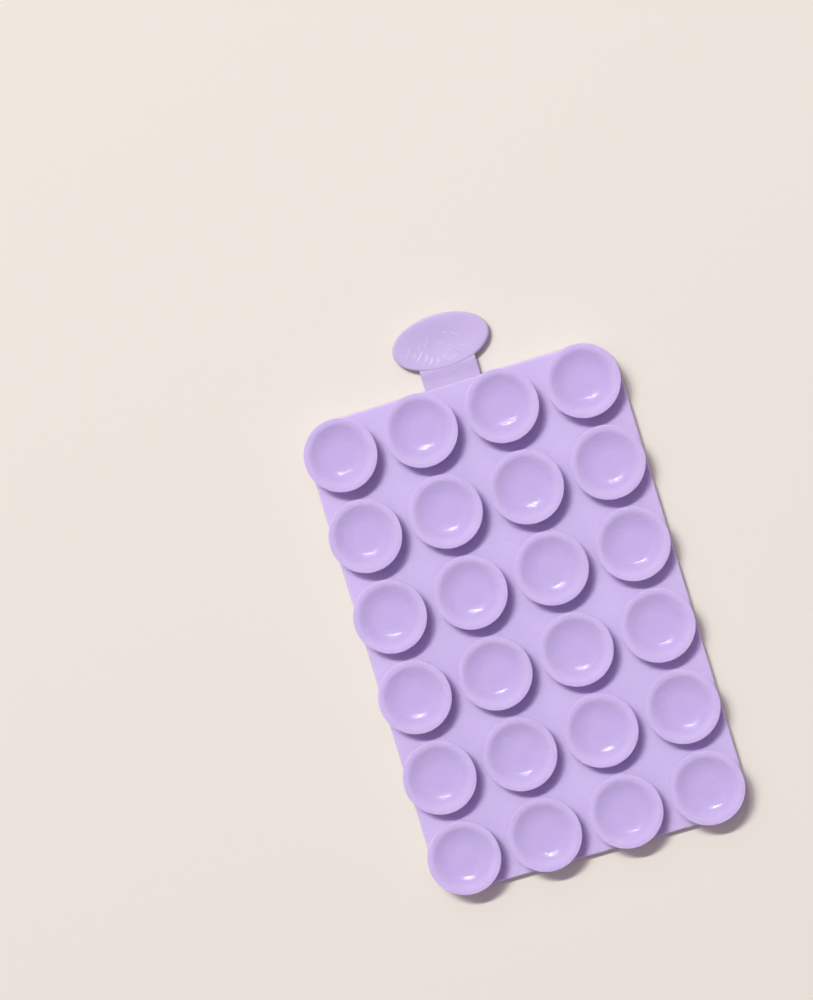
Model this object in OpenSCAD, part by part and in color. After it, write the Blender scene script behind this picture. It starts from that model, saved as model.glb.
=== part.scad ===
// Suction cup mat for the back of a phone: a thin backing with a grid of small
// open suction cups, an adhesive pad under it and a dished pull tab at one end.
// Millimetres. The origin is the centre of the adhesive face, +Z goes out of
// the cups and +Y goes towards the pull tab.

/* [Suction cups] */
// Outer diameter of a cup's rim
rim_d = 12.8; // [10.5:0.1:16]
// Space between the rims of neighbouring cups
cup_gap = 1.7; // [0.8:0.1:4]
// Height of the rims above the backing
cup_h = 4.5; // [4:0.1:6]
// Depth of the bowl, from the rim to its floor
bowl_depth = 1.2; // [0.8:0.1:1.8]
// Diameter of the bowl's flat floor, from which its wall rises
floor_d = 3.6; // [2:0.1:4.6]
// Thickness of the bowl's floor, wall and lip
wall_t = 0.7; // [0.5:0.05:0.9]
// Radius of the roll from the bowl's wall on to its lip
roll_r = 1.25; // [1:0.05:1.6]
// Width of the flat sealing land on top of the lip
land_w = 0.4; // [0.2:0.05:0.6]
// Radius along the lip's two outer edges
lip_edge_r = 0.2; // [0.1:0.02:0.24]
// Diameter of the stem under each bowl
stem_d = 5.2; // [3.6:0.1:6]
// Radius where the stem meets the backing
foot_r = 0.5; // [0.2:0.05:0.6]
// Diameter of the middle of the bowl that the stem holds still
hub_d = 7.4; // [6.6:0.1:8.6]

/* [Backing] */
// Thickness of the backing
backing_t = 1.8; // [1.2:0.1:3]
// How far the outer rims reach past the backing's edge
rim_overhang = 0.15; // [0:0.05:0.5]
// Radius of the backing's corners
corner_r = 6.2; // [3:0.1:8]
// Radius along the backing's upper edge
edge_r = 0.35; // [0.1:0.05:0.6]

/* [Adhesive pad] */
// Thickness of the adhesive pad
pad_t = 0.5; // [0.2:0.05:1]
// How far the pad's edge lies inside the backing's edge
pad_inset = 1.2; // [0.5:0.1:3]

/* [Pull tab] */
// Width of the neck
neck_w = 10; // [6:0.5:12]
// Length of the neck, from the backing to the grip
neck_l = 2.7; // [1.5:0.1:6]
// Thickness of the neck
neck_t = 1.4; // [0.8:0.1:1.5]
// How far the neck's upper face lies under the backing's
neck_drop = 0.3; // [0:0.05:0.5]
// Radius along the neck's upper and lower side edges
neck_edge_r = 0.25; // [0.1:0.05:0.35]
// Length of the grip across the mat
grip_w = 17.2; // [14:0.1:24]
// Width of the grip along the mat
grip_l = 9.4; // [8:0.1:12]
// Radius of the grip's two ends
grip_end_r = 3.1; // [2.4:0.1:3.8]
// How far the grip's rim stands above the neck
grip_rise = 0.4; // [0.3:0.05:1]
// Radius round the grip's upper edge
grip_edge_r = 0.4; // [0.2:0.05:0.5]
// Depth of the grip's dish
dish_depth = 0.6; // [0.3:0.05:0.8]
// Width of the rim left round the dish
dish_rim = 0.75; // [0.5:0.05:1.5]

/* [Fits] */
// Running clearance between pieces that move against each other
run_gap = 0.05; // [0.02:0.01:0.08]

/* [Hidden] */
$fn = 96;
// The mat's fixed count of cups across and along
cup_cols = 4;
cup_rows = 6;
// One overrun for every cut
over = 1;

// Heights of the faces above the adhesive face
backing_z = pad_t;
backing_top = backing_z + backing_t;
rim_z = backing_top + cup_h;
floor_z = rim_z - bowl_depth;

// Cup grid, and the backing that follows it
pitch = rim_d + cup_gap;
grid_w = (cup_cols - 1) * pitch;
grid_l = (cup_rows - 1) * pitch;
backing_w = grid_w + rim_d - 2 * rim_overhang;
backing_l = grid_l + rim_d - 2 * rim_overhang;
function cup_x(c) = (c - 1) * pitch - grid_w / 2;
function cup_y(r) = grid_l / 2 - (r - 1) * pitch;

// Bowl section: a flat floor, a wall that curves up from it through wall_turn
// degrees and rolls back level, and the lip's flat land
rim_r = rim_d / 2;
hub_r = hub_d / 2;
stem_r = stem_d / 2;
floor_r = floor_d / 2;
roll_x = rim_r - lip_edge_r - land_w;
wall_turn = 2 * atan(bowl_depth / (roll_x - floor_r));
wall_r = (roll_x - floor_r) / sin(wall_turn) - roll_r;

// Pull tab: its upper and lower faces, and where its pieces begin
neck_top = backing_top - neck_drop;
neck_z = neck_top - neck_t;
neck_y = backing_l / 2 + run_gap;
neck_end = backing_l / 2 + neck_l;
grip_start = neck_end + run_gap;
grip_top = neck_top + grip_rise;
grip_y = grip_start + grip_l / 2;

CUPS = [for (r = [1:cup_rows]) for (c = [1:cup_cols]) [r, c]];
function cup_name(kind, cup) = str("cup_", kind, "_r", cup[0], "c", cup[1]);

// Half section of a round plate whose upper and lower edges are rounded
module plate_section(r, t, top_r, low_r) {
    square([r - top_r, t]);
    translate([0, low_r]) square([r, t - low_r - top_r]);
    translate([r - top_r, t - top_r]) circle(r = top_r);
    if (low_r > 0) {
        translate([r - low_r, low_r]) circle(r = low_r);
    }
}

module round_plate(r, t, top_r) {
    rotate_extrude() intersection() {
        plate_section(r, t, top_r, 0);
        square([r + over, t]);
    }
}

// Slab that runs along Y, with its two upper edges rounded
module long_slab(w, l, t, top_r) {
    rotate([90, 0, 0]) translate([0, 0, -l / 2]) linear_extrude(height = l) {
        for (side = [0, 1]) mirror([side, 0]) plate_section(w / 2, t, top_r, 0);
    }
}

// Slab with round corners and a rounded upper edge all round
module rounded_slab(w, l, t, r, top_r) {
    long_slab(w, l - 2 * r, t, top_r);
    rotate([0, 0, 90]) long_slab(l, w - 2 * r, t, top_r);
    for (x = [-1, 1], y = [-1, 1]) {
        translate([x * (w / 2 - r), y * (l / 2 - r), 0]) round_plate(r, t, top_r);
    }
}

module backing() {
    color([0.80, 0.70, 0.92]) translate([0, 0, backing_z]) {
        rounded_slab(backing_w, backing_l, backing_t, corner_r, edge_r);
    }
}

module adhesive_pad() {
    w = backing_w - 2 * pad_inset;
    l = backing_l - 2 * pad_inset;
    r = corner_r - pad_inset;
    color([0.93, 0.93, 0.90]) linear_extrude(height = pad_t) {
        square([w, l - 2 * r], center = true);
        square([w - 2 * r, l], center = true);
        for (x = [-1, 1], y = [-1, 1]) {
            translate([x * (w / 2 - r), y * (l / 2 - r)]) circle(r = r);
        }
    }
}

// Sector of a ring with outer radius r and thickness t, through wall_turn
// degrees on from the angle start
module ring_sector(r, t, start) {
    intersection() {
        difference() {
            circle(r = r);
            circle(r = r - t);
        }
        polygon([
            [0, 0],
            2 * r * [cos(start), sin(start)],
            2 * r * [cos(start + wall_turn), sin(start + wall_turn)]
        ]);
    }
}

// Half section of the whole bowl: floor, wall, roll and lip
module bowl_section() {
    translate([0, floor_z - wall_t]) square([floor_r, wall_t]);
    translate([floor_r, floor_z + wall_r]) ring_sector(wall_r + wall_t, wall_t, -90);
    translate([roll_x, rim_z - roll_r]) ring_sector(roll_r, wall_t, 90);
    translate([0, rim_z - wall_t]) difference() {
        plate_section(rim_r, wall_t, lip_edge_r, lip_edge_r);
        square([roll_x, wall_t]);
    }
}

// Stem with a rounded foot, up into the bowl's floor
module stem_section() {
    translate([0, backing_top]) {
        square([stem_r, floor_z - wall_t / 2 - backing_top]);
        difference() {
            square([stem_r + foot_r, foot_r]);
            translate([stem_r + foot_r, foot_r]) circle(r = foot_r);
        }
    }
}

module cup_hub(cup) {
    color([0.78, 0.68, 0.91]) translate([cup_x(cup[1]), cup_y(cup[0]), 0]) rotate_extrude() {
        stem_section();
        intersection() {
            bowl_section();
            square([hub_r, rim_z]);
        }
    }
}

module cup_skirt(cup) {
    color([0.84, 0.74, 0.94]) translate([cup_x(cup[1]), cup_y(cup[0]), 0]) rotate_extrude() {
        difference() {
            bowl_section();
            square([hub_r + run_gap, rim_z + over]);
        }
    }
}

module pull_tab_neck() {
    l = neck_end - neck_y;
    color([0.80, 0.70, 0.92]) translate([0, neck_y + l / 2, neck_z]) rotate([90, 0, 0]) {
        translate([0, 0, -l / 2]) linear_extrude(height = l) {
            for (side = [0, 1]) mirror([side, 0]) {
                plate_section(neck_w / 2, neck_t, neck_edge_r, neck_edge_r);
            }
        }
    }
}

// Oval of four arcs that meet in line. half_w and half_l are its half sizes
// and end_r is the radius of its two ends. Its upper edge is rounded.
module oval_plate(half_w, half_l, end_r, t, top_r) {
    end_x = half_w - end_r;
    side_r = (end_x * end_x + half_l * half_l - end_r * end_r) / (2 * (half_l - end_r));
    side_y = side_r - half_l;
    reach = side_r / (side_r - end_r) + 1;
    for (x = [-1, 1]) {
        translate([x * end_x, 0, 0]) round_plate(end_r, t, top_r);
    }
    for (turn = [0, 180]) rotate([0, 0, turn]) intersection() {
        translate([0, -side_y, 0]) round_plate(side_r, t, top_r);
        linear_extrude(height = t) polygon([
            [-end_x, 0],
            [end_x, 0],
            [end_x * reach, side_y * (reach - 1)],
            [-end_x * reach, side_y * (reach - 1)]
        ]);
    }
}

// Hollow of the grip: a shallow round cap drawn in along Y to an oval
module dish_cut() {
    half_w = grip_w / 2 - dish_rim;
    half_l = grip_l / 2 - dish_rim;
    cap_r = (half_w * half_w + dish_depth * dish_depth) / (2 * dish_depth);
    scale([1, half_l / half_w, 1]) translate([0, 0, cap_r - dish_depth]) sphere(r = cap_r);
}

module pull_tab_grip() {
    color([0.80, 0.70, 0.92]) difference() {
        union() {
            translate([0, grip_y, neck_z]) {
                oval_plate(grip_w / 2, grip_l / 2, grip_end_r, grip_top - neck_z, grip_edge_r);
            }
            translate([-neck_w / 2, grip_start, neck_z]) cube([neck_w, grip_l / 2, neck_t]);
        }
        translate([0, grip_y, grip_top]) dish_cut();
    }
}

backing();
adhesive_pad();
pull_tab_neck();
pull_tab_grip();
for (cup = CUPS) {
    cup_hub(cup);
    cup_skirt(cup);
}
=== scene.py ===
"""Looks of the suction cup mat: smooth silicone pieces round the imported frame.

Lengths are in metres and lie in the frame's own axes: +Z goes out of the cups
and +Y towards the pull tab.
"""

import math
import random

import bpy
import numpy as np
from mathutils import Matrix, Vector


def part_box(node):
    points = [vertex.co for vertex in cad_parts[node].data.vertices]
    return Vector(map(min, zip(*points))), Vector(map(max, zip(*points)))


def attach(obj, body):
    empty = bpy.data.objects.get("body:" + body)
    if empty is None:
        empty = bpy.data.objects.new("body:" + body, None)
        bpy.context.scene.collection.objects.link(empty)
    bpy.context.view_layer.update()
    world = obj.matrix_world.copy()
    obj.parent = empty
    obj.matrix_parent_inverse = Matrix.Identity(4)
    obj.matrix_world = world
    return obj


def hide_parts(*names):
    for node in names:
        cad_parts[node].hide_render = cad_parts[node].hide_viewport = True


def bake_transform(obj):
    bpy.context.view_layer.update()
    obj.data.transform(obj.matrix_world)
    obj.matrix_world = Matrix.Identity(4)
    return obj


MM = 0.001
SEED = 7

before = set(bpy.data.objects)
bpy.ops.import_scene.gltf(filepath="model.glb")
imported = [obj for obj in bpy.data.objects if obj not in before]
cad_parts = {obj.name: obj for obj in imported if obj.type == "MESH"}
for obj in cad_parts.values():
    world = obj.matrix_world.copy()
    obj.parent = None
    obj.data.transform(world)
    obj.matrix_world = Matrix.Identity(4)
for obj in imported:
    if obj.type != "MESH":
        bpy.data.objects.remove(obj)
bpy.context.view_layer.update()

# Places read from the frame
backing_lo, backing_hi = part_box("backing")
pad_lo, pad_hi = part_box("adhesive_pad")
neck_lo, neck_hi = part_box("pull_tab_neck")
grip_lo, grip_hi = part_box("pull_tab_grip")
skirt_lo, skirt_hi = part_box("cup_skirt_r1c1")
RIM_Z = skirt_hi.z
RIM_R = (skirt_hi.x - skirt_lo.x) / 2
CUP_TAGS = sorted(n[len("cup_skirt_"):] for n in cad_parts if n.startswith("cup_skirt_"))

# The cup's section, sunk a hair into the backing. Its roll is wider than the part's,
# and its land and lip are finer
BOWL_DEPTH = 1.2 * MM
FLOOR_R = 1.8 * MM
WALL_T = 0.7 * MM
ROLL_R = 1.6 * MM
LAND_W = 0.34 * MM
LIP_EDGE_R = 0.12 * MM
LIP_T = 0.28 * MM
LIP_GROWTH = 0.12 * MM
STEM_R = 2.6 * MM
STEM_TOP_R = 0.5 * MM
FOOT_R = 0.5 * MM
SINK = 0.02 * MM
CUP_SEGMENTS = 96

# Points along each arc of the section
WALL_POINTS = 22
ROLL_POINTS = 14
LIP_POINTS = 6
UNDER_POINTS = 9
OUTER_WALL_POINTS = 12
FILLET_POINTS = 8

# Where the bowl's gloss and darker colour fade out towards its lip; outward of that, the cup's
# lighter colour holds painted sheen and painted light on the upper wall and lip
POLISH_FULL_R = 4.2 * MM
POLISH_END_R = 5.2 * MM

# Slack of each cup: how far its rim may lie out of true, and the least share of that
RIM_TILT = 0.05 * MM
RIM_WAVE = 0.02 * MM
LEAST_SLACK = 0.3

# Edges and corners of the flat pieces. A ring on each flat face keeps its shading flat
CORNER_R = 6.2 * MM
CORNER_STEPS = 20
EDGE_R = 0.35 * MM
LOW_EDGE_R = 0.12 * MM
BACKING_STEPS = 6
BACKING_RING = 0.3 * MM
PAD_INSET = 1.2 * MM
PAD_EDGE_R = 0.06 * MM
PAD_STEPS = 3
PAD_RING = 0.2 * MM

# The pull tab's neck: two lengths that lap, and its rise to the grip
NECK_EDGE_R = 0.25 * MM
NECK_EDGE_STEPS = 6
NECK_ROOT = 0.3 * MM
NECK_SPLIT = 1.6 * MM
NECK_LAP = 0.4 * MM
NECK_TUCK = 0.05 * MM
NECK_RISE = 0.33 * MM
NECK_RISE_IN = 0.4 * MM
NECK_RISE_FADE = 0.8 * MM
NECK_CLEAR = 0.03 * MM
NECK_FLAT_ANGLE = 50
ROOT_LOOPS = 40
TIP_LOOPS = 60
TONGUE_IN_GRIP = 2.6 * MM

# The pull tab's grip, with room for its relief under the part's own height
GRIP_EDGE_R = 0.4 * MM
GRIP_LOW_R = 0.2 * MM
GRIP_STEPS = 8
GRIP_RING = 0.4 * MM
GRIP_TOP_ROOM = 0.02 * MM
GRIP_AROUND = 400
DISH_RIM = 0.55 * MM
DISH_DEPTH = 0.5 * MM
DISH_RINGS = 72
DISH_INNERMOST = 0.02 * MM
RELIEF_FADE_RATE = 5

# Gloss on the grip's upper side, with a paler painted highlight: on its relief, and in a band of
# its dish
GRIP_SHINE_Z = 1.5 * MM
SHINY_RISE = 0.08 * MM
SHINY_REACH = 0.72
SHINY_WIDTH = 0.16
SHINY_BAND = 0.25

# The dish's low relief, a fan of ribs and dots, in mm from its centre: x, y,
# direction in degrees, half length, width and height
RELIEF = [
    (-5.9, -0.6, 238, 0.60, 0.22, 0.045),
    (-4.9, -1.2, 236, 0.40, 0.20, 0.040),
    (-4.2, -1.7, 229, 0.80, 0.23, 0.075),
    (-3.1, -2.2, 240, 0.45, 0.22, 0.050),
    (-2.4, -2.9, 236, 0.35, 0.26, 0.070),
    (-1.2, -3.1, 250, 0.25, 0.30, 0.070),
    (-0.1, -2.7, 272, 0.20, 0.22, 0.045),
    (0.6, -3.3, 290, 0.20, 0.24, 0.050),
    (2.3, -2.6, 312, 0.80, 0.17, -0.080),
    (1.6, -3.2, 300, 0.20, 0.20, 0.045),
    (3.6, -1.9, 322, 0.45, 0.18, 0.035),
    (4.7, -1.2, 322, 0.30, 0.18, 0.030),
    (-2.64, -0.1, 80, 0.16, 0.19, 0.110),
    (-1.95, 0.95, 60, 0.12, 0.19, 0.075),
    (1.0, 1.25, 0, 0.05, 0.19, 0.060),
    (0.0, -0.2, 0, 0.08, 0.24, 0.060),
    (2.4, 0.65, -28, 0.20, 0.17, 0.070),
    (3.2, 0.2, -35, 0.35, 0.15, 0.045),
    (-3.7, 0.1, 75, 0.15, 0.17, 0.045),
]

# Colours as 8-bit sRGB: the cups' outsides, lighter than their glossy bowls by painted sheen
# and painted light; the backing, lightened by painted light against the shade between the
# cups; the tab, and the paler painted highlight on its relief; the adhesive's two shades, the
# floor and the backdrop
CUP_BASE_AND_PAINTED_SHEEN = (206, 190, 226)
BOWL_BASE = (200, 183, 224)
BACKING_BASE_AND_PAINTED_LIGHT = (209, 194, 229)
TAB_BASE = (203, 188, 222)
RELIEF_PAINTED_HIGHLIGHT = (211, 198, 229)
CLOUD_STEP = 2
ADHESIVE_DARK = (226, 225, 220)
ADHESIVE_LIGHT = (238, 237, 232)
FLOOR_BASE = (229, 226, 210)
BACKDROP = (236, 228, 219)

# Noises, by scale and detail, and the range in which most of a noise lies. In the
# silicone: faint clouds, smears in its gloss, a fine grain and a gentle sway. In the
# adhesive: clouds of the foam, and dimples
CLOUDS = (110, 2.0)
SMEARS = (700, 4.0)
GRAIN = (6000, 2.0)
SWAY = (1500, 2.0)
SWAY_STRETCH = (0.4, 1, 1)
FOAM = (260, 4.0)
DIMPLES = (1500, 3.0)
NOISE_RANGE = (0.3, 0.7)

# Silicone
PLAIN_ROUGHNESS = (0.57, 0.67)
GLOSS_ROUGHNESS = (0.11, 0.19)
GRAIN_STRENGTH = 0.10
GRAIN_DEPTH = 0.02 * MM
SWAY_STRENGTH = 0.55
SWAY_DEPTH = 0.08 * MM
SILICONE_IOR = 1.43
SPECULAR = 0.13
SCATTERING = 0.8

# How far light travels inside the thin pieces and inside the thick backing, in mm
THIN_SPREAD = (0.45, 0.34, 0.52)
THICK_SPREAD = (0.9, 0.5, 1.2)

# Adhesive
ADHESIVE_ROUGHNESS = (0.35, 0.6)
DIMPLE_STRENGTH = 0.4
DIMPLE_DEPTH = 0.05 * MM

# Floor, a hair under the adhesive so that the two faces don't coincide
FLOOR_REACH = 1.5
FLOOR_Z = -0.02 * MM
FLOOR_ROUGHNESS = 0.9
FLOOR_SPECULAR = 0.1

# Camera, from the photograph
CAMERA_AIM = Vector((-13.43, 25.56, 4.0)) * MM
CAMERA_DISTANCE = 0.5
CAMERA_LEAN_X = math.radians(6.79)
CAMERA_LEAN_Y = math.radians(1.0)
CAMERA_ROLL = math.radians(17.16)
CAMERA_FOCAL_PX = 2903.9
CAMERA_CLIP = (0.01, 20)
FRAME_LONG_PX = 1000
SENSOR = 36.0

# Lights. The key is three windows in one place: a small one, a long narrow one that
# gives most of the light and a large soft one. A soft window at the side and a tinted
# fill light the shadows. Sizes and levels are those at 1 m
LIGHT_AIM = Vector((0, 0.006, 0))
LIGHT_DISTANCE = 2.25
KEY_LEAN = Vector((-0.115, 0.437, 1.0))
KEYS = {
    "key_core": ((0.06, 0.04), 1.6),
    "key_wide": ((0.33, 0.04), 6.0),
    "key_soft": ((1.2, 1.2), 2.3),
}
SIDE_LEAN = Vector((-0.9, -0.6, 1.0))
SIDE_SIZE = (1.07, 1.07)
SIDE_LEVEL = 0.53
FILL_STRENGTH = 0.19
FILL_COLOUR = (1.07, 0.78, 1.27, 1)


def new_object(name, verts, faces, material, smooth=True):
    mesh = bpy.data.meshes.new(name)
    mesh.from_pydata([tuple(v) for v in verts], [], faces)
    mesh.validate()
    mesh.update()
    mesh.materials.append(material)
    for polygon in mesh.polygons:
        polygon.use_smooth = smooth
    obj = bpy.data.objects.new(name, mesh)
    bpy.context.scene.collection.objects.link(obj)
    return obj


def set_gloss_and_painted_light(obj, values):
    """The share of gloss at each point of a mesh, which the silicone's material reads. The share
    also mixes the colour, so it carries painted light: painted sheen on the cups' matt outside, a
    paler painted highlight on the grip.
    """
    attribute = obj.data.attributes.new("gloss_and_painted_light", "FLOAT", "POINT")
    attribute.data.foreach_set("value", np.array(values, np.float32))


def clamp(value):
    return min(1.0, max(0.0, value))


def smooth_step(value):
    value = clamp(value)
    return value * value * (3 - 2 * value)


def arc(centre, radius, start, end, count):
    """Points of an arc in the (r, z) plane, angles in degrees from +r towards +z."""
    angles = np.radians(np.linspace(start, end, count))
    return [(centre[0] + radius * math.cos(a), centre[1] + radius * math.sin(a)) for a in angles]


def cup_profile():
    """Section of a cup from the middle of its floor, over the lip and down to its foot.

    Also gives the share of gloss at each point: 1 inside the bowl and 0 elsewhere. Where it is 0
    the cup shows its lighter colour with painted sheen.
    """
    floor_z = RIM_Z - BOWL_DEPTH
    roll_x = RIM_R - LIP_EDGE_R - LAND_W
    turn = 2 * math.degrees(math.atan(BOWL_DEPTH / (roll_x - FLOOR_R)))
    wall_r = (roll_x - FLOOR_R) / math.sin(math.radians(turn)) - ROLL_R
    wall_c = (FLOOR_R, floor_z + wall_r)
    roll_c = (roll_x, RIM_Z - ROLL_R)
    edge_x = RIM_R - LIP_EDGE_R
    top = backing_hi.z

    fillet_x = STEM_R + STEM_TOP_R
    fillet_reach = wall_r + WALL_T + STEM_TOP_R
    fillet_c = (fillet_x, wall_c[1] - math.sqrt(fillet_reach**2 - (fillet_x - FLOOR_R) ** 2))
    fillet_turn = math.degrees(math.asin((fillet_x - FLOOR_R) / fillet_reach))

    inside = [(0, floor_z), (FLOOR_R * 0.5, floor_z)]
    inside += arc(wall_c, wall_r, -90, -90 + turn, WALL_POINTS)
    inside += arc(roll_c, ROLL_R, 90 + turn, 90, ROLL_POINTS)[1:]
    plain = [(edge_x - LAND_W * 0.5, RIM_Z)]
    plain += arc((edge_x, RIM_Z - LIP_EDGE_R), LIP_EDGE_R, 90, 0, LIP_POINTS)
    plain += arc((edge_x, RIM_Z - LIP_T + LIP_EDGE_R), LIP_EDGE_R, 0, -90, LIP_POINTS)
    shares = np.linspace(0, 1, UNDER_POINTS)
    for share, angle in zip(shares, np.radians(np.linspace(90, 90 + turn, UNDER_POINTS))):
        reach = ROLL_R - (LIP_T + LIP_GROWTH + (WALL_T - LIP_T - LIP_GROWTH) * share)
        plain.append((roll_c[0] + reach * math.cos(angle), roll_c[1] + reach * math.sin(angle)))
    plain += arc(wall_c, wall_r + WALL_T, -90 + turn, -90 + fillet_turn, OUTER_WALL_POINTS)[1:]
    plain += arc(fillet_c, STEM_TOP_R, 90 + fillet_turn, 180, FILLET_POINTS)[1:]
    plain += arc((STEM_R + FOOT_R, top + FOOT_R), FOOT_R, 180, 270, FILLET_POINTS)
    plain += [(STEM_R + FOOT_R, top - SINK), (0, top - SINK)]
    fade = POLISH_END_R - POLISH_FULL_R
    gloss_and_painted_light = [clamp((POLISH_END_R - r) / fade) for r, _ in inside]
    return inside + plain, gloss_and_painted_light + [0.0] * len(plain)


def revolve(profile, centre, lift):
    """Closed mesh of a profile that starts and ends on its axis, turned about +Z.

    lift(angle, r, z) is how far a point moves along Z. The last value is the
    profile's index for each point.
    """
    verts = []
    faces = []
    source = []
    rings = []
    for index, (r, z) in enumerate(profile):
        count = 1 if r == 0 else CUP_SEGMENTS
        rings.append(list(range(len(verts), len(verts) + count)))
        source += [index] * count
        for k in range(count):
            a = 2 * math.pi * k / CUP_SEGMENTS
            x, y = centre[0] + r * math.cos(a), centre[1] + r * math.sin(a)
            verts.append((x, y, z + lift(a, r, z)))
    for one, two in zip(rings, rings[1:]):
        for k in range(CUP_SEGMENTS):
            n = (k + 1) % CUP_SEGMENTS
            if len(one) == 1:
                faces.append((one[0], two[k], two[n]))
            elif len(two) == 1:
                faces.append((one[k], two[0], one[n]))
            else:
                faces.append((one[k], two[k], two[n], one[n]))
    return verts, faces, source


def make_cup(tag, centre, material, rng):
    """A whole cup: foot, stem and bowl in one. Its rim lies a little out of true, its foot stays.
    """
    phases = [rng.uniform(0, 2 * math.pi) for _ in range(2)]
    sizes = [rng.uniform(LEAST_SLACK, 1) * slack for slack in (RIM_TILT, RIM_WAVE)]
    foot_z = backing_hi.z

    def lift(angle, r, z):
        share = (r / RIM_R) ** 2 * max(0.0, (z - foot_z) / (RIM_Z - foot_z))
        wave = sizes[0] * math.cos(angle - phases[0]) + sizes[1] * math.cos(2 * angle - phases[1])
        return (wave - sizes[0] - sizes[1]) * share

    profile, gloss_and_painted_light = cup_profile()
    verts, faces, source = revolve(profile, centre, lift)
    cup = new_object("cup_" + tag, verts, faces, material)
    set_gloss_and_painted_light(cup, [gloss_and_painted_light[k] for k in source])
    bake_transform(cup)
    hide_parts("cup_skirt_" + tag, "cup_hub_" + tag)


def outline_loop(lo, hi, corner_r, inset, z):
    """Points round a rounded rectangle, drawn in by inset."""
    r = corner_r - inset
    half = ((hi.x - lo.x) / 2 - inset, (hi.y - lo.y) / 2 - inset)
    middle = ((lo.x + hi.x) / 2, (lo.y + hi.y) / 2)
    loop = []
    for corner, (sx, sy) in enumerate([(1, 1), (-1, 1), (-1, -1), (1, -1)]):
        cx = middle[0] + sx * (half[0] - r)
        cy = middle[1] + sy * (half[1] - r)
        for k in range(CORNER_STEPS + 1):
            a = math.radians(90 * corner + 90 * k / CORNER_STEPS)
            loop.append((cx + r * math.cos(a), cy + r * math.sin(a), z))
    return loop


def stack_loops(loops):
    """Closed mesh through loops of the same count, from the first to the last."""
    verts = [p for loop in loops for p in loop]
    n = len(loops[0])
    faces = [tuple(reversed(range(n)))]
    for level in range(len(loops) - 1):
        for k in range(n):
            a = level * n + k
            b = level * n + (k + 1) % n
            faces.append((a, b, b + n, a + n))
    top = (len(loops) - 1) * n
    faces.append(tuple(range(top, top + n)))
    return verts, faces


def slab_levels(lo_z, hi_z, low_r, top_r, steps):
    """(inset, z) up the side of a slab with rounded edges, lowest first."""
    angles = [math.radians(90 * k / steps) for k in range(steps + 1)]
    levels = [(low_r * (1 - math.sin(a)), lo_z + low_r * (1 - math.cos(a))) for a in angles]
    levels += [(top_r * (1 - math.cos(a)), hi_z - top_r * (1 - math.sin(a))) for a in angles]
    return levels


def keep_flat_faces_flat(obj, angle):
    """Smooth shading of a closed mesh that stops at edges sharper than the angle, in degrees."""
    beside = {}
    for polygon in obj.data.polygons:
        for key in polygon.edge_keys:
            beside.setdefault(key, []).append(polygon.normal.copy())
    for edge in obj.data.edges:
        one, two = beside[edge.key]
        edge.use_edge_sharp = one.angle(two, 0) > math.radians(angle)


def make_backing(material):
    lo, hi = backing_lo, backing_hi
    loops = [outline_loop(lo, hi, CORNER_R, inset, z)
             for inset, z in slab_levels(lo.z, hi.z, LOW_EDGE_R, EDGE_R, BACKING_STEPS)]
    loops.insert(0, outline_loop(lo, hi, CORNER_R, LOW_EDGE_R + BACKING_RING, lo.z))
    loops.append(outline_loop(lo, hi, CORNER_R, EDGE_R + BACKING_RING, hi.z))
    verts, faces = stack_loops(loops)
    piece = new_object("silicone_backing", verts, faces, material)
    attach(piece, "mat")
    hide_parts("backing")


def make_pad(material):
    lo, hi = pad_lo, pad_hi
    corner = CORNER_R - PAD_INSET
    loops = [outline_loop(lo, hi, corner, inset, z)
             for inset, z in slab_levels(lo.z, hi.z, PAD_EDGE_R, PAD_EDGE_R, PAD_STEPS)]
    loops.insert(0, outline_loop(lo, hi, corner, PAD_EDGE_R + PAD_RING, lo.z))
    verts, faces = stack_loops(loops)
    piece = new_object("adhesive_sheet", verts, faces, material)
    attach(piece, "mat")
    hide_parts("adhesive_pad")


def neck_section(tuck):
    """Points round the neck's section, drawn in by tuck."""
    half_w = (neck_hi.x - neck_lo.x) / 2
    r = NECK_EDGE_R - tuck
    section = []
    for corner, (sx, top) in enumerate([(1, True), (-1, True), (-1, False), (1, False)]):
        cx = sx * (half_w - NECK_EDGE_R)
        cz = neck_hi.z - NECK_EDGE_R if top else neck_lo.z + NECK_EDGE_R
        for k in range(NECK_EDGE_STEPS + 1):
            a = math.radians(90 * corner + 90 * k / NECK_EDGE_STEPS)
            section.append((cx + r * math.cos(a), cz + r * math.sin(a)))
    return section


def upper_lift(y):
    """How far the neck's upper face has risen to the grip's rim. It sinks again inside the grip."""
    share = clamp((y - backing_hi.y) / (grip_lo.y - backing_hi.y))
    fade = smooth_step((y - grip_lo.y - NECK_RISE_IN) / NECK_RISE_FADE)
    return NECK_RISE * share**2 * (1 - fade)


def lower_lift(y):
    """How far the neck's lower face has risen, so that it ends a hair inside the grip."""
    split = backing_hi.y + NECK_SPLIT
    return NECK_CLEAR * smooth_step((y - split) / (grip_lo.y - split))


def strip(name, y0, y1, count, split, side, material):
    """A length of the neck. Past the split, on the side given, it tucks in under its neighbour."""
    loops = []
    neck_mid = (neck_lo.z + neck_hi.z) / 2
    for y in np.linspace(y0, y1, count):
        section = neck_section(NECK_TUCK * smooth_step(side * (y - split) / NECK_LAP))
        upper, lower = upper_lift(y), lower_lift(y)
        loops.append([(x, y, z + (upper if z > neck_mid else lower)) for x, z in section])
    verts, faces = stack_loops(loops)
    piece = new_object(name, verts, [f[::-1] for f in faces], material)
    keep_flat_faces_flat(piece, NECK_FLAT_ANGLE)
    return piece


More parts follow.
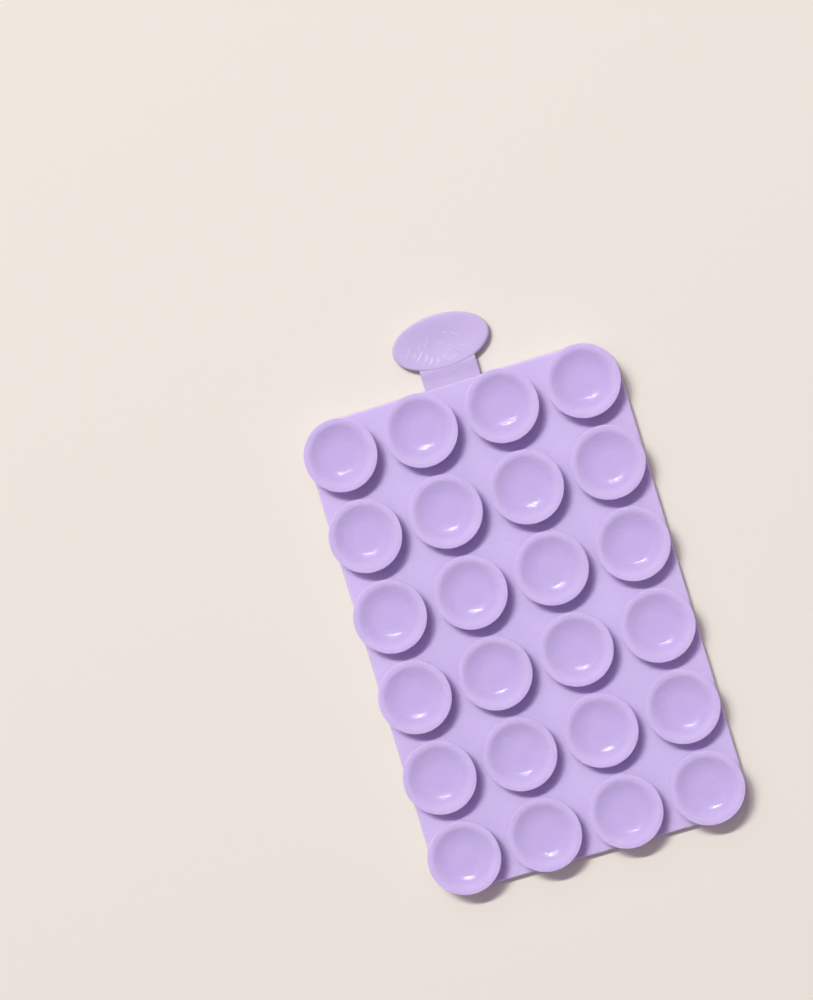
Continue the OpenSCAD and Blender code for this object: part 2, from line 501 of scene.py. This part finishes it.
def make_neck(material):
    """The neck in two lengths, one from the backing and one into the grip."""
    edge = backing_hi.y
    split = edge + NECK_SPLIT
    root = strip("neck_root", edge - NECK_ROOT, split + NECK_LAP, ROOT_LOOPS, split, 1, material)
    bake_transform(root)
    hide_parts("pull_tab_neck")
    tip_end = grip_lo.y + TONGUE_IN_GRIP
    tip = strip("neck_tip", split - NECK_LAP, tip_end, TIP_LOOPS, split, -1, material)
    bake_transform(tip)


def dish_relief(x, y):
    """Height of the ribs and dots moulded in the dish, at a point from its centre."""
    height = 0
    for px, py, turn, half, width, rise in RELIEF:
        turn = math.radians(turn)
        along = (x - px * MM) * math.cos(turn) + (y - py * MM) * math.sin(turn)
        across = -(x - px * MM) * math.sin(turn) + (y - py * MM) * math.cos(turn)
        past = max(0.0, abs(along) - half * MM)
        height += rise * MM * math.exp(-(across**2 + past**2) / (width * MM) ** 2)
    return height


def dish_height(x, y):
    """Height of the grip's upper face inside its rim, at a point from the grip's centre."""
    a = (grip_hi.x - grip_lo.x) / 2 - DISH_RIM
    b = (grip_hi.y - grip_lo.y) / 2 - DISH_RIM
    s = min(1.0, math.hypot(x / a, y / b))
    z = grip_hi.z - GRIP_TOP_ROOM - DISH_DEPTH * (1 - s**2) ** 2
    return z + dish_relief(x, y) * min(1.0, RELIEF_FADE_RATE * (1 - s))


def grip_gloss_and_highlight(x, y, z, a, b):
    """Share of gloss and of the paler painted highlight on the grip: its relief, and a band along
    the dish's lower side, where the light catches it.
    """
    if z < GRIP_SHINE_Z:
        return 0.0
    reach = math.hypot(x / a, y / b)
    band = math.exp(-((reach - SHINY_REACH) / SHINY_WIDTH) ** 2) * max(0.0, -y / b)
    return min(1.0, max(0.0, dish_relief(x, y) / SHINY_RISE) + SHINY_BAND * band)


def make_grip(material):
    """The oval grip: a rounded rim round a shallow dish."""
    cx = (grip_lo.x + grip_hi.x) / 2
    cy = (grip_lo.y + grip_hi.y) / 2
    a = (grip_hi.x - grip_lo.x) / 2
    b = (grip_hi.y - grip_lo.y) / 2
    top, bottom = grip_hi.z - GRIP_TOP_ROOM, grip_lo.z

    def loop(inset, z=None):
        points = []
        for k in range(GRIP_AROUND):
            t = 2 * math.pi * k / GRIP_AROUND
            x = (a - inset) * math.cos(t)
            y = (b - inset) * math.sin(t)
            points.append((cx + x, cy + y, dish_height(x, y) if z is None else z))
        return points

    levels = slab_levels(bottom, top, GRIP_LOW_R, GRIP_EDGE_R, GRIP_STEPS)
    loops = [loop(GRIP_LOW_R + GRIP_RING, bottom)]
    loops += [loop(inset, z) for inset, z in levels]
    loops += [loop(inset) for inset in np.linspace(DISH_RIM, b - DISH_INNERMOST, DISH_RINGS)]
    verts, faces = stack_loops(loops)
    piece = new_object("oval_grip", verts, faces, material)
    # This share also paints the paler highlight on the relief and on the dish's lower band
    set_gloss_and_painted_light(piece, [grip_gloss_and_highlight(x - cx, y - cy, z, a, b) for x, y, z in verts])
    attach(piece, "tab_grip")
    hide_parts("pull_tab_grip")


def srgb(colour):
    """Linear colour of an 8-bit sRGB one."""
    def one(c):
        c = c / 255
        return c / 12.92 if c <= 0.04045 else ((c + 0.055) / 1.055) ** 2.4
    return (*(one(c) for c in colour), 1)


def node_material(name):
    material = bpy.data.materials.new(name)
    material.use_nodes = True
    nodes = material.node_tree.nodes
    return material, nodes, material.node_tree.links, nodes["Principled BSDF"]


def add_noise(nodes, links, scale, detail, stretch=(1, 1, 1)):
    """Noise fixed to the object, with its place multiplied by stretch first."""
    place = nodes.new("ShaderNodeTexCoord")
    stretched = nodes.new("ShaderNodeVectorMath")
    stretched.operation = "MULTIPLY"
    stretched.inputs[1].default_value = stretch
    links.new(place.outputs["Object"], stretched.inputs[0])
    noise = nodes.new("ShaderNodeTexNoise")
    noise.inputs["Scale"].default_value = scale
    noise.inputs["Detail"].default_value = detail
    links.new(stretched.outputs["Vector"], noise.inputs["Vector"])
    return noise.outputs["Fac"]


def spread_noise(nodes, links, noise, lo, hi):
    """The noise's usual range drawn out to run from lo to hi."""
    node = nodes.new("ShaderNodeMapRange")
    node.inputs["From Min"].default_value, node.inputs["From Max"].default_value = NOISE_RANGE
    node.inputs["To Min"].default_value = lo
    node.inputs["To Max"].default_value = hi
    links.new(noise, node.inputs["Value"])
    return node.outputs["Result"]


def mix(nodes, links, kind, factor, one, two):
    """Mix of two colours (kind RGBA) or values (kind FLOAT), each a constant or a socket."""
    node = nodes.new("ShaderNodeMix")
    node.data_type = kind
    links.new(factor, node.inputs["Factor"])
    for name, value in (("A", one), ("B", two)):
        if isinstance(value, bpy.types.NodeSocket):
            links.new(value, node.inputs[name])
        else:
            node.inputs[name].default_value = value
    return node.outputs["Result"]


def add_bump(nodes, links, height, strength, distance, normal=None):
    bump = nodes.new("ShaderNodeBump")
    bump.inputs["Strength"].default_value = strength
    bump.inputs["Distance"].default_value = distance
    links.new(height, bump.inputs["Height"])
    if normal is not None:
        links.new(normal, bump.inputs["Normal"])
    return bump.outputs["Normal"]


def silicone_material(name, base, glossy_colour_and_highlight, spread):
    """Soft lilac silicone: matt with a fine moulded grain, glossy where its share of gloss is high.

    The two colours given are those of the matt and the glossy parts, and between them lies painted
    light: the cups' matt outside is lighter by painted sheen, the grip's glossy relief paler by a
    painted highlight. spread is how far red, green and blue light travel inside, in mm.
    """
    material, nodes, links, shader = node_material(name)
    shade = spread_noise(nodes, links, add_noise(nodes, links, *CLOUDS), 0, 1)
    dark, light = (srgb(c + step for c in base) for step in (-CLOUD_STEP, CLOUD_STEP))
    moulded = mix(nodes, links, "RGBA", shade, dark, light)
    gloss_and_painted_light = nodes.new("ShaderNodeAttribute")
    gloss_and_painted_light.attribute_name = "gloss_and_painted_light"
    share = gloss_and_painted_light.outputs["Fac"]
    # The gloss share also mixes the colour: painted sheen on the cups' matt outside, a paler
    # painted highlight on the grip's relief
    colour = mix(nodes, links, "RGBA", share, moulded, srgb(glossy_colour_and_highlight))
    links.new(colour, shader.inputs["Base Color"])

    smears = add_noise(nodes, links, *SMEARS)
    plain = spread_noise(nodes, links, smears, *PLAIN_ROUGHNESS)
    gloss = spread_noise(nodes, links, smears, *GLOSS_ROUGHNESS)
    links.new(mix(nodes, links, "FLOAT", share, plain, gloss), shader.inputs["Roughness"])

    grain = add_noise(nodes, links, *GRAIN)
    fine = add_bump(nodes, links, grain, GRAIN_STRENGTH, GRAIN_DEPTH)
    sway = add_noise(nodes, links, *SWAY, SWAY_STRETCH)
    normal = add_bump(nodes, links, sway, SWAY_STRENGTH, SWAY_DEPTH, fine)
    links.new(normal, shader.inputs["Normal"])
    shader.inputs["IOR"].default_value = SILICONE_IOR
    shader.inputs["Specular IOR Level"].default_value = SPECULAR
    shader.inputs["Subsurface Weight"].default_value = SCATTERING
    shader.inputs["Subsurface Radius"].default_value = spread
    shader.inputs["Subsurface Scale"].default_value = MM
    return material


def adhesive_material():
    """Pale acrylic foam with a tacky, faintly dimpled face."""
    material, nodes, links, shader = node_material("acrylic_adhesive")
    shade = spread_noise(nodes, links, add_noise(nodes, links, *FOAM), 0, 1)
    colour = mix(nodes, links, "RGBA", shade, srgb(ADHESIVE_DARK), srgb(ADHESIVE_LIGHT))
    links.new(colour, shader.inputs["Base Color"])
    dimples = add_noise(nodes, links, *DIMPLES)
    roughness = spread_noise(nodes, links, dimples, *ADHESIVE_ROUGHNESS)
    links.new(roughness, shader.inputs["Roughness"])
    normal = add_bump(nodes, links, dimples, DIMPLE_STRENGTH, DIMPLE_DEPTH)
    links.new(normal, shader.inputs["Normal"])
    return material


def floor_material():
    material, _, _, shader = node_material("pale_floor")
    shader.inputs["Base Color"].default_value = srgb(FLOOR_BASE)
    shader.inputs["Roughness"].default_value = FLOOR_ROUGHNESS
    shader.inputs["Specular IOR Level"].default_value = FLOOR_SPECULAR
    return material


def make_floor():
    corners = [(sx * FLOOR_REACH, sy * FLOOR_REACH, FLOOR_Z)
               for sx, sy in ((-1, -1), (1, -1), (1, 1), (-1, 1))]
    new_object("floor", corners, [(0, 1, 2, 3)], floor_material(), smooth=False)


def aim(obj, place, target, up):
    """Points an object's -Z at the target, with its +Y as near up as it goes."""
    back = (place - target).normalized()
    right = up.cross(back).normalized()
    level_up = back.cross(right)
    obj.matrix_world = Matrix((
        (right.x, level_up.x, back.x, place.x),
        (right.y, level_up.y, back.y, place.y),
        (right.z, level_up.z, back.z, place.z),
        (0, 0, 0, 1),
    ))


def make_camera():
    data = bpy.data.cameras.new("camera")
    camera = bpy.data.objects.new("camera", data)
    bpy.context.scene.collection.objects.link(camera)
    back = Vector((math.tan(CAMERA_LEAN_X), math.tan(CAMERA_LEAN_Y), 1)).normalized()
    up = Vector((math.sin(CAMERA_ROLL), math.cos(CAMERA_ROLL), 0))
    aim(camera, CAMERA_AIM + back * CAMERA_DISTANCE, CAMERA_AIM, up)
    data.sensor_width = SENSOR
    data.lens = CAMERA_FOCAL_PX / FRAME_LONG_PX * SENSOR
    data.clip_start, data.clip_end = CAMERA_CLIP
    bpy.context.scene.camera = camera


def add_window(name, size, level, lean):
    """A flat rectangular light that faces the mat. Size and level are those at 1 m."""
    data = bpy.data.lights.new(name, "AREA")
    data.shape = "RECTANGLE"
    data.size, data.size_y = (side * LIGHT_DISTANCE for side in size)
    data.energy = level * LIGHT_DISTANCE**2
    light = bpy.data.objects.new(name, data)
    bpy.context.scene.collection.objects.link(light)
    place = LIGHT_AIM + lean.normalized() * LIGHT_DISTANCE
    aim(light, place, LIGHT_AIM, Vector((0, 1, 0)))


def make_lights():
    for name, (size, level) in KEYS.items():
        add_window(name, size, level, KEY_LEAN)
    add_window("side_soft", SIDE_SIZE, SIDE_LEVEL, SIDE_LEAN)


def make_world():
    """A dim tinted fill all round, and the plain backdrop where the camera sees past the floor."""
    world = bpy.data.worlds.new("studio")
    bpy.context.scene.world = world
    world.use_nodes = True
    nodes, links = world.node_tree.nodes, world.node_tree.links
    background = nodes["Background"]
    seen = nodes.new("ShaderNodeLightPath").outputs["Is Camera Ray"]
    colour = mix(nodes, links, "RGBA", seen, FILL_COLOUR, srgb(BACKDROP))
    links.new(colour, background.inputs["Color"])
    strength = mix(nodes, links, "FLOAT", seen, FILL_STRENGTH, 1.0)
    links.new(strength, background.inputs["Strength"])


def main():
    rng = random.Random(SEED)
    # The cups' matt colour holds painted sheen and is lighter than their glossy bowls
    silicone = silicone_material("cup_silicone", CUP_BASE_AND_PAINTED_SHEEN, BOWL_BASE, THIN_SPREAD)
    # The tab's glossy colour is a paler painted highlight on its relief and dish band
    tab_silicone = silicone_material("tab_silicone", TAB_BASE, RELIEF_PAINTED_HIGHLIGHT, THIN_SPREAD)
    # The backing's colour is lifted by painted light, against the shade that falls between the cups
    make_backing(silicone_material("backing_silicone", BACKING_BASE_AND_PAINTED_LIGHT, BACKING_BASE_AND_PAINTED_LIGHT, THICK_SPREAD))
    make_pad(adhesive_material())
    for tag in CUP_TAGS:
        lo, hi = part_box("cup_skirt_" + tag)
        make_cup(tag, ((lo.x + hi.x) / 2, (lo.y + hi.y) / 2), silicone, rng)
    make_neck(tab_silicone)
    make_grip(tab_silicone)
    make_floor()
    make_camera()
    make_lights()
    make_world()
    bpy.context.scene.view_settings.view_transform = "Standard"


main()
